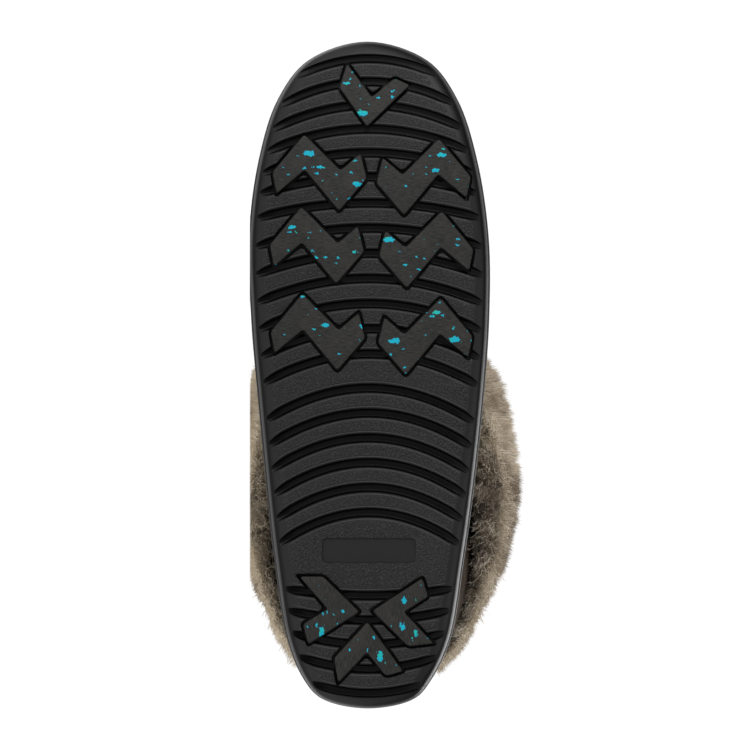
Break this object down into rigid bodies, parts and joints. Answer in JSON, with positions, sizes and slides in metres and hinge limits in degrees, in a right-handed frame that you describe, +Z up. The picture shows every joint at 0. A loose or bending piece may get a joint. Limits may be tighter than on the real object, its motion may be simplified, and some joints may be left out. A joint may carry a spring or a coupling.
{
  "type": "mukluk boot",
  "caption": "Short mukluk boot lying on its inner side: black cup sole with flecked grip inserts, suede upper with an open collar, and a deep fur band round the shaft.",
  "frame": {"origin": "on the floor, under the middle of the lying boot's box", "axes": "+X from the toe to the heel, +Y from the sole to the collar (the tread faces -Y), +Z up from the floor to the boot's outer side"},
  "size_m": [0.2888, 0.2168, 0.1278],
  "materials": {
    "sole_rubber": "satin",
    "grip_rubber": "matte",
    "suede": "matte",
    "lining": "matte",
    "fur": "matte"
  },
  "bodies": {
    "root": {"outsole": "sole_rubber", "lug_toe": "grip_rubber", "lug_heel_inner": "grip_rubber", "lug_heel_outer": "grip_rubber", "lug_heel_rear": "grip_rubber", "lug_front_inner": "grip_rubber", "lug_front_outer": "grip_rubber", "lug_middle_inner": "grip_rubber", "lug_middle_outer": "grip_rubber", "lug_rear_inner": "grip_rubber", "lug_rear_outer": "grip_rubber", "insole": "lining", "upper": "suede", "fur_cuff": "fur"}
  },
  "joints": []
}
